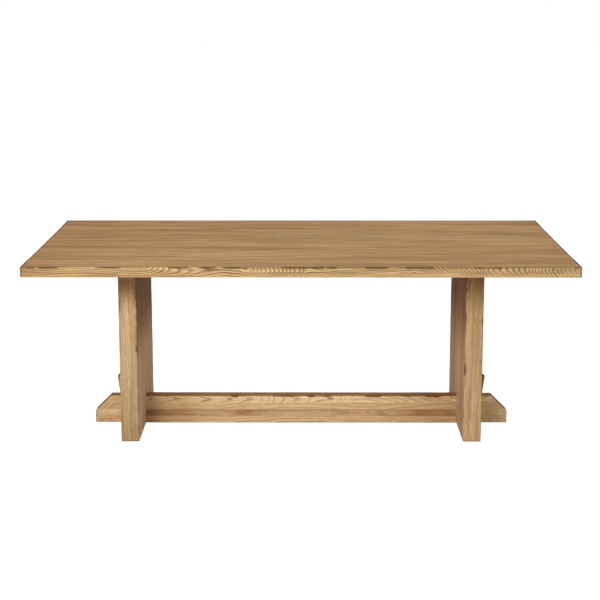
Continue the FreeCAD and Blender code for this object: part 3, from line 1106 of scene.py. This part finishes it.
class TABLE_OT_stretcher(bpy.types.Operator):
    """Stretcher: four layers with shoulders, sloped tenon tips and wedge mortises"""
    bl_idname = "table.stretcher"
    bl_label = "Stretcher layers"

    def execute(self, context):
        look = context.scene.table_stretcher
        wedge = context.scene.table_wedge
        for node, material in zip(LAYER_NODES, self.layer_oaks(look)):
            low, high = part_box(node)
            bm = self.blank(look, low, high)
            self.ease_arrises(bm, look, node)
            for end in ENDS:
                self.mortise(bm, low.z, high.z, end, wedge)
            cut_along(bm, X, look.pitch)
            self.wear_arrises(bm, look, node, low, high)
            piece_from(bm, "oak_" + node, material, "table", [node])
        return {"FINISHED"}

    @staticmethod
    def layer_oaks(look):
        """A material for each layer, from the lowest to the upper one."""
        layer = BAR_HIGH.z - BAR_LOW.z
        middle = (BAR_LOW.z + BAR_HIGH.z) / 2
        piths = [(BAR_LOW.y / MM, (middle - layer * below) / MM) for below in (3, 2, 1, 0)]
        grains = (
            Grain(X, Y, Z, piths[0], ring=4.8, figure=Figure(TAILS, STEADY, CHEVRON), warp=2.5, fine=0.26),
            Grain(X, Y, Z, piths[1], ring=5.2, figure=Figure(TAILS, STRAIGHT, CHEVRON), warp=2.5, fine=0.22),
            Grain(X, Y, Z, piths[2], ring=5.6, figure=Figure(TAILS, STEADY, STRAIGHT), warp=2.5, fine=0.22),
            Grain(X, Y, Z, piths[3], ring=4.6, figure=ARCHES, warp=1.0, fine=0.12),
        )
        # Light and dark wood, how light it is along the layer with its painted light and shade near the legs,
        # and the strength of the ring lines
        tones = (
            (look.light, look.dark, TONE_AND_PAINTED_LIGHT, 0.5),
            (look.light, look.brown, MOTTLED, 0.4),
            (look.light, look.dark, TONE_AND_PAINTED_LIGHT, 0.4),
            (look.pale, look.dark, TONE_AND_PAINTED_LIGHT, 0.75),
        )
        oaks = []
        for i, (grain, (light, dark, lightness, lines)) in enumerate(zip(grains, tones)):
            oaks.append(oak("stretcher_oak_%d" % (i + 1), Wood(
                seed=30.0 + i, grain=grain, light=light, dark=dark, ring=look.ring, lines=lines, bands=0.7,
                fleck=BAR_FLECKS, lightness=lightness, fade=BAR_SHADE, face=look.upper, ends=look.ends)))
        return oaks

    @classmethod
    def blank(cls, look, low, high):
        """A layer with shoulders inside the legs and, if it reaches that high, sloped tips."""
        thin = high.y - look.shoulder
        right = [(LEG_LOW.x, high.y), (LEG_LOW.x, thin), (TIP_X, thin)]
        half = [*right, *((x, -y) for x, y in reversed(right))]
        plan = [*half, *((-x, -y) for x, y in half)]
        bm = drawn_out([(x, y, low.z) for x, y in plan], Vector((0, 0, high.z - low.z)))
        for end in ENDS:
            corner = Vector((end * TIP_X, 0, FOOT_Z + look.tip_face))
            if high.z > corner.z:
                cls.slope(bm, corner, Vector((end, 0, 1)).normalized())
            bm.normal_update()
            blunt = [e for e in bm.edges if lies_at(e, {X: corner.x, Z: corner.z})]
            if blunt:
                ease(bm, blunt, look.tip_round, segments=5)
        return bm

    @staticmethod
    def slope(bm, corner, normal):
        """Cut an upper end corner off on a slope, and close the cut."""
        cut = bmesh.ops.bisect_plane(bm, geom=geometry(bm.faces[:]), dist=NEAR, plane_co=corner,
                                     plane_no=normal, clear_outer=True)
        edges = [g for g in cut["geom_cut"] if isinstance(g, bmesh.types.BMEdge)]
        bmesh.ops.holes_fill(bm, edges=edges, sides=0)

    @classmethod
    def ease_arrises(cls, bm, look, node):
        """Round the arrises in view, not those of glued faces and shoulders."""
        # A cut inside the leg, without which the tenon's arrises would narrow towards the shoulder
        for end in ENDS:
            cut_at(bm, X, end * (LEG_LOW.x + look.shoulder))
        bm.normal_update()
        glued = [side for side, last in ((1, LAYER_NODES[-1]), (-1, LAYER_NODES[0])) if node != last]
        ease(bm, [e for e in bm.edges if cls.shows(e, glued)], look.arris)

    @staticmethod
    def shows(edge, glued):
        """Whether an edge is an arris in view: between a side and a face that isn't glued or a shoulder."""
        if len(edge.link_faces) != 2:
            return False
        side, other = sorted(edge.link_faces, key=lambda f: -abs(f.normal.y))
        if abs(side.normal.y) < SQUARE or abs(other.normal.y) > NEAR:
            return False
        if any(other.normal.z * sign > SQUARE for sign in glued):
            return False
        middle = other.calc_center_median()
        return abs(other.normal.x) < SQUARE or abs(middle.x) > LEG_HIGH.x

    @staticmethod
    def mortise(bm, lower, upper, end, wedge):
        """Open the wedge's mortise through a layer between two heights."""
        half = wedge.thick / 2 + wedge.play
        rims = []
        for z, side in ((lower, -1), (upper, 1)):
            far = LEG_HIGH.x + 2 * wedge.play + wedge.neck + (z - BAR_HIGH.z) / wedge.slope
            low, high = sorted((end * (LEG_HIGH.x - wedge.relief), end * far))
            for place in (low, high):
                cut_at(bm, X, place, on_side(bm, Z, side))
            for place in (-half, half):
                across = [f for f in on_side(bm, Z, side) if low < f.calc_center_median().x < high]
                cut_at(bm, Y, place, across)
            limits = Vector((low, -half, 0)), Vector((high, half, 0))
            hole = [f for f in on_side(bm, Z, side) if inside(f, *limits, Z)]
            inner = set(hole)
            rims += [e for f in hole for e in f.edges if not set(e.link_faces) <= inner]
            bmesh.ops.delete(bm, geom=hole, context="FACES_KEEP_BOUNDARY")
        bmesh.ops.bridge_loops(bm, edges=rims)
        bmesh.ops.recalc_face_normals(bm, faces=bm.faces)

    @staticmethod
    def wear_arrises(bm, look, node, low, high):
        """Wear the long arrises of the upper and the lowest layer."""
        if node == LAYER_NODES[-1]:
            cut_at(bm, Z, high.z - look.margin)
            for side in ENDS:
                cut_at(bm, Y, side * (high.y - look.reach))
        for side in ENDS:
            if node == LAYER_NODES[-1]:
                dents = STRETCHER_DENTS if side == FRONT else ()
                upper = Wear(seed=41.0 + side, uneven=1.0, stain=0.3, dents=dents)
                wear(bm, X, {Y: side * high.y, Z: high.z}, look.arris, upper)
            if node == LAYER_NODES[0]:
                lower = Wear(seed=45.0 + side, uneven=0.7, stain=0.1)
                wear(bm, X, {Y: side * high.y, Z: low.z}, look.arris, lower)


class TABLE_OT_wedges(bpy.types.Operator):
    """Wedges that lock the tenons, rounded on every arris"""
    bl_idname = "table.wedges"
    bl_label = "Wedges"

    def execute(self, context):
        look = context.scene.table_wedge
        self.wedge(look, "left_wedge", LEFT, look.light, look.dark)
        # The right wedge takes the darker colours, as painted shade from the right leg
        self.wedge(look, "right_wedge", RIGHT, look.right_shaded_light, look.right_shaded_dark)
        return {"FINISHED"}

    @staticmethod
    def wedge(look, node, end, light, dark):
        """A wedge that is upright beside the leg and slopes outside, with a clipped corner."""
        low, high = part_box(node)
        grain = Grain(Z, Y, X, pith=(-60.0, -300.0), ring=3.2, wander=8.0, warp=2.0)
        tips = None, (high.z - look.clip) / MM
        material = oak(node + "_oak", Wood(
            seed=50.0 + end, grain=grain, light=light, dark=dark, ring=look.ring, lines=0.5, tips=tips,
            ends=look.ends))
        near, far = (low.x, high.x) if end == RIGHT else (high.x, low.x)
        shoulder = high.z - look.clip
        foot_far = far - end * (shoulder - low.z) / look.slope
        outline = [(near, low.z), (foot_far, low.z), (far, shoulder), (far - end * look.clip, high.z),
                   (near, high.z)]
        bm = drawn_out([(x, -look.thick / 2, z) for x, z in outline], Vector((0, look.thick, 0)))
        ease(bm, bm.edges[:], look.arris)
        cut_along(bm, Z, look.pitch)
        piece_from(bm, "oak_" + node, material, node, [node])


class TABLE_OT_hardware(bpy.types.Operator):
    """Finishes of plates, screws and splines, and the felt strips"""
    bl_idname = "table.hardware"
    bl_label = "Hardware and felt"

    def execute(self, context):
        look = context.scene.table_hardware
        finishes = (
            (painted("plate_paint", look.plate), ("left_plate", "right_plate")),
            (plated("zinc_plating", look.zinc), ("plate_screws", "coach_screws")),
            (bare_wood("spline_wood", look.spline), ("top_splines", "leg_splines")),
        )
        for material, nodes in finishes:
            for node in nodes:
                dress(node, material)
        self.felt_strips(look, context.scene.table_stretcher.shoulder)
        return {"FINISHED"}

    @classmethod
    def felt_strips(cls, look, shoulder):
        """Felt strips near both ends of each half of a foot, on either side of the tenon."""
        low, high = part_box("foot_glides")
        size = Vector((look.felt_width, look.felt_length, high.z - low.z))
        leg_middle = (LEG_LOW.x + LEG_HIGH.x) / 2
        starts = (BAR_HIGH.y - shoulder + look.felt_inset, -LEG_LOW.y - look.felt_inset - look.felt_length)
        whole = bmesh.new()
        for end in ENDS:
            for side in ENDS:
                for start in starts:
                    x = end * leg_middle - look.felt_width / 2
                    y = min(side * start, side * (start + look.felt_length))
                    strip = cls.felt_strip(look, Vector((x, y, low.z)), size)
                    whole.from_mesh(strip)
                    bpy.data.meshes.remove(strip)
        piece_from(whole, "felt_strips", felted("foot_felt", look.felt), "table", ["foot_glides"])

    @staticmethod
    def felt_strip(look, corner, size):
        """A strip with soft, slightly ragged edges."""
        bm = block(corner, corner + size)
        ease(bm, bm.edges[:], look.felt_round, segments=2)
        cut_along(bm, X, look.felt_pitch)
        cut_along(bm, Y, look.felt_pitch)
        for v in bm.verts:
            rag = noise.noise(v.co * FELT_WAVES)
            inward = corner + size / 2 - v.co
            inward.z = 0
            v.co += inward * (FELT_RAG * (1.0 + rag))
        return mesh_from(bm, "felt_strip")


class TABLE_OT_stage(bpy.types.Operator):
    """White floor, soft light and the camera"""
    bl_idname = "table.stage"
    bl_label = "Stage"

    def execute(self, context):
        scene = context.scene
        look = scene.table_stage
        scene.view_settings.view_transform = "Standard"
        self.camera(scene, look)
        for lamp in LAMPS:
            self.light(scene, lamp, look.key * lamp.share)
        self.sky(scene, look)
        self.floor(scene, look)
        return {"FINISHED"}

    @staticmethod
    def camera(scene, look):
        """A camera where the photograph was taken from."""
        data = bpy.data.cameras.new("camera")
        data.lens = look.lens
        data.sensor_width = look.sensor
        data.shift_y = look.rise
        eye = bpy.data.objects.new("camera", data)
        eye.location = look.eye
        eye.rotation_euler = (math.pi / 2 - look.pitch, 0, look.yaw)
        scene.collection.objects.link(eye)
        scene.camera = eye

    @staticmethod
    def light(scene, lamp, power):
        """A soft square light that looks at a point."""
        data = bpy.data.lights.new(lamp.name, "AREA")
        data.energy = power
        data.size = lamp.size
        light = bpy.data.objects.new(lamp.name, data)
        light.location = lamp.place
        light.rotation_euler = (Vector(lamp.target) - Vector(lamp.place)).to_track_quat("-Z", "Y").to_euler()
        scene.collection.objects.link(light)

    @staticmethod
    def seen(finish):
        """One where a ray comes from the camera, a reflection or clear glass."""
        path = finish.node("ShaderNodeLightPath", {}, {}).socket.node.outputs
        rays = ("Is Camera Ray", "Is Glossy Ray", "Is Transmission Ray")
        return finish.most(*(Field(finish, path[ray]) for ray in rays))

    @classmethod
    def sky(cls, scene, look):
        """Even white light from all round, on a white ground."""
        scene.world = bpy.data.worlds.new("white_sky")
        finish = Finish(scene.world)
        finish.tree.nodes.clear()
        lit = finish.node("ShaderNodeBackground", {}, {"Color": (*WHITE, 1.0), "Strength": look.sky})
        shown = finish.node("ShaderNodeBackground", {}, {"Color": (*WHITE, 1.0), "Strength": 1.0})
        both = finish.node("ShaderNodeMixShader", {}, {0: cls.seen(finish), 1: lit, 2: shown})
        finish.node("ShaderNodeOutputWorld", {}, {"Surface": both})

    @classmethod
    def floor(cls, scene, look):
        """A wide pale floor that shows white, with the table's soft shadow."""
        bm = bmesh.new()
        bmesh.ops.create_grid(bm, x_segments=1, y_segments=1, size=look.floor_half)
        mesh = mesh_from(bm, "floor")
        mesh.materials.append(cls.floor_white(look))
        ground = bpy.data.objects.new("floor", mesh)
        scene.collection.objects.link(ground)

    @classmethod
    def floor_white(cls, look):
        """Matt to the light, and mostly white to the camera."""
        finish = new_finish("floor_white")
        finish.tree.nodes.clear()
        matt = finish.node("ShaderNodeBsdfDiffuse", {}, {"Color": (*look.floor, 1.0)})
        glow = finish.node("ShaderNodeEmission", {}, {"Color": (*WHITE, 1.0), "Strength": look.glow})
        shown = finish.node("ShaderNodeMixShader", {}, {0: look.shadow, 1: glow, 2: matt})
        both = finish.node("ShaderNodeMixShader", {}, {0: cls.seen(finish), 1: matt, 2: shown})
        finish.node("ShaderNodeOutputMaterial", {}, {"Surface": both})
        return finish.owner


class TABLE_PT_panel(bpy.types.Panel):
    """The table's pieces, one button for each group"""
    bl_idname = "TABLE_PT_panel"
    bl_label = "Trestle dining table"
    bl_space_type = "VIEW_3D"
    bl_region_type = "UI"
    bl_category = "Table"

    def draw(self, context):
        for operator in OPERATORS:
            self.layout.operator(operator.bl_idname)
        for name, settings in SETTINGS.items():
            group = getattr(context.scene, name)
            box = self.layout.box()
            box.label(text=settings.__doc__)
            for key in settings.__annotations__:
                box.prop(group, key)


OPERATORS = (
    TABLE_OT_top_boards, TABLE_OT_leg_boards, TABLE_OT_stretcher, TABLE_OT_wedges, TABLE_OT_hardware,
    TABLE_OT_stage,
)
SETTINGS = {
    "table_top": TopLook, "table_leg": LegLook, "table_stretcher": StretcherLook, "table_wedge": WedgeLook,
    "table_hardware": HardwareLook, "table_stage": StageLook,
}


def register():
    """Make the settings, operators and panel known to Blender."""
    for cls in (*SETTINGS.values(), *OPERATORS, TABLE_PT_panel):
        bpy.utils.register_class(cls)
    for name, group in SETTINGS.items():
        setattr(bpy.types.Scene, name, PointerProperty(type=group))


def unregister():
    """Take them away again."""
    for name in SETTINGS:
        delattr(bpy.types.Scene, name)
    for cls in reversed((*SETTINGS.values(), *OPERATORS, TABLE_PT_panel)):
        bpy.utils.unregister_class(cls)


def main():
    """Dress the table and set its stage."""
    register()
    bpy.ops.table.top_boards()
    bpy.ops.table.leg_boards()
    bpy.ops.table.stretcher()
    bpy.ops.table.wedges()
    bpy.ops.table.hardware()
    bpy.ops.table.stage()


if __name__ == "__main__":
    main()
